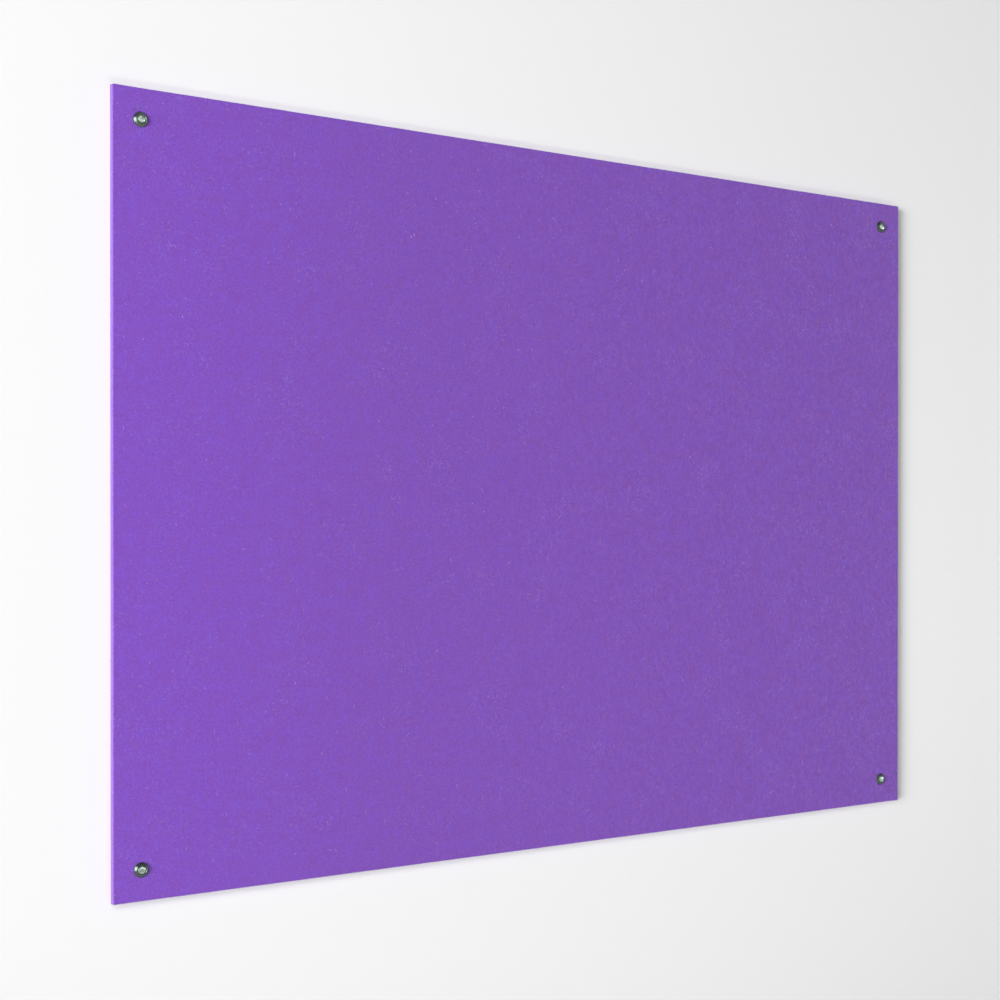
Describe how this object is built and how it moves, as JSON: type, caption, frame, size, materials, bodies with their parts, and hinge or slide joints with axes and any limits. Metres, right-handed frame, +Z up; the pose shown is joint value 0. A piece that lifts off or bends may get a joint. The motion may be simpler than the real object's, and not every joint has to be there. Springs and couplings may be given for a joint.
{
  "type": "pinboard",
  "caption": "Frameless felt pinboard: violet needle felt wrapped round a softboard core, screwed flat to a wall through cup washers at its corners.",
  "frame": {"origin": "on the face of the wall, in the plane of the felt returns that rest on it, behind the centre of the board", "axes": "+X to the right along the board's width, +Y through the board into the wall, +Z up; the felt face looks along -Y"},
  "size_m": [1.2, 0.0448, 0.9],
  "materials": {
    "felt": "violet needle felt with fine pale fibres on its face",
    "softboard": "raw wood fibre softboard",
    "washer_nickel": "bright nickel plate, slightly scuffed",
    "screw_zinc": "bright zinc plate",
    "plug_nylon": "moulded grey nylon",
    "staple_wire": "galvanised flat wire"
  },
  "bodies": {
    "root": {"core_board": "softboard", "felt_cover": "felt", "cup_washer_top_left": "washer_nickel", "screw_top_left": "screw_zinc", "wall_plug_top_left": "plug_nylon", "cup_washer_top_right": "washer_nickel", "screw_top_right": "screw_zinc", "wall_plug_top_right": "plug_nylon", "cup_washer_bottom_left": "washer_nickel", "screw_bottom_left": "screw_zinc", "wall_plug_bottom_left": "plug_nylon", "cup_washer_bottom_right": "washer_nickel", "screw_bottom_right": "screw_zinc", "wall_plug_bottom_right": "plug_nylon", "staple_top_01": "staple_wire", "staple_top_02": "staple_wire", "staple_top_03": "staple_wire", "staple_top_04": "staple_wire", "staple_top_05": "staple_wire", "staple_top_06": "staple_wire", "staple_top_07": "staple_wire", "staple_top_08": "staple_wire", "staple_top_09": "staple_wire", "staple_top_10": "staple_wire", "staple_bottom_01": "staple_wire", "staple_bottom_02": "staple_wire", "staple_bottom_03": "staple_wire", "staple_bottom_04": "staple_wire", "staple_bottom_05": "staple_wire", "staple_bottom_06": "staple_wire", "staple_bottom_07": "staple_wire", "staple_bottom_08": "staple_wire", "staple_bottom_09": "staple_wire", "staple_bottom_10": "staple_wire", "staple_left_01": "staple_wire", "staple_left_02": "staple_wire", "staple_left_03": "staple_wire", "staple_left_04": "staple_wire", "staple_left_05": "staple_wire", "staple_left_06": "staple_wire", "staple_left_07": "staple_wire", "staple_right_01": "staple_wire", "staple_right_02": "staple_wire", "staple_right_03": "staple_wire", "staple_right_04": "staple_wire", "staple_right_05": "staple_wire", "staple_right_06": "staple_wire", "staple_right_07": "staple_wire", "staple_corner_top_left": "staple_wire", "staple_corner_top_right": "staple_wire", "staple_corner_bottom_left": "staple_wire", "staple_corner_bottom_right": "staple_wire"}
  },
  "joints": []
}
